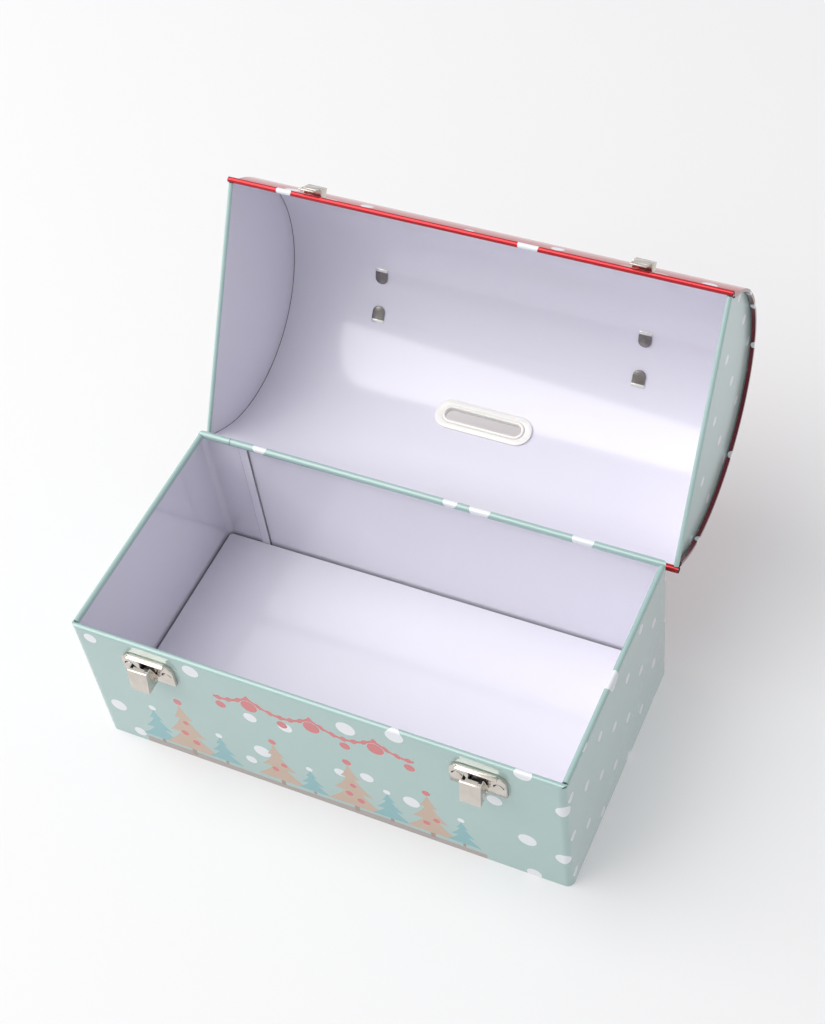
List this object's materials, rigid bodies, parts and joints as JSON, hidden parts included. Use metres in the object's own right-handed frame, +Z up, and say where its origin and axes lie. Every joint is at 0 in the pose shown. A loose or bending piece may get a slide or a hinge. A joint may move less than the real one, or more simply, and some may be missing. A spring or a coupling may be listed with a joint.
{
  "type": "tin trunk",
  "caption": "Small domed tin trunk for keepsakes, with a hinged lid, toggle latches, a carrying handle and a coin slot in the lid.",
  "frame": {"origin": "middle of the underside", "axes": "+X to the right along the front, +Y to the back, +Z up; the lid stands open in the rest pose"},
  "size_m": [0.2054, 0.2083, 0.1575],
  "materials": {
    "mint_enamel": "gloss",
    "red_enamel": "gloss",
    "white_lacquer": "gloss",
    "nickel": "polished",
    "cream_plastic": "gloss"
  },
  "bodies": {
    "base": {"base_wall": "mint_enamel", "base_bottom": "white_lacquer", "hinge_leaf_base_left": "mint_enamel", "hinge_leaf_base_right": "mint_enamel", "hinge_pin_left": "nickel", "hinge_pin_right": "nickel", "latch_plate_left": "nickel", "latch_plate_right": "nickel", "latch_pin_left": "nickel", "latch_pin_right": "nickel"},
    "lid": {"lid_dome": "red_enamel", "lid_end_left": "mint_enamel", "lid_end_right": "mint_enamel", "hinge_leaf_lid_left": "red_enamel", "hinge_leaf_lid_right": "red_enamel", "catch_left": "nickel", "catch_right": "nickel", "handle_bracket_left": "nickel", "handle_bracket_right": "nickel", "slot_grommet": "cream_plastic", "slot_retainer": "cream_plastic"},
    "latch_lever_left": {"latch_lever_left": "nickel"},
    "latch_lever_right": {"latch_lever_right": "nickel"},
    "handle": {"handle": "cream_plastic"}
  },
  "joints": [
    {"name": "lid_hinge", "type": "hinge", "parent": "base", "child": "lid", "pos_m": [0, 0.0537, 0.0626], "axis": [1, 0, 0], "range_deg": [0, 121]},
    {"name": "latch_left", "type": "hinge", "parent": "base", "child": "latch_lever_left", "pos_m": [-0.0672, -0.056, 0.0578], "axis": [1, 0, 0], "range_deg": [-8, 0]},
    {"name": "latch_right", "type": "hinge", "parent": "base", "child": "latch_lever_right", "pos_m": [0.0672, -0.056, 0.0578], "axis": [1, 0, 0], "range_deg": [-8, 0]},
    {"name": "handle_swing", "type": "hinge", "parent": "lid", "child": "handle", "pos_m": [0, 0.14406, 0.07659], "axis": [1, 0, 0], "range_deg": [-34, 162]}
  ]
}
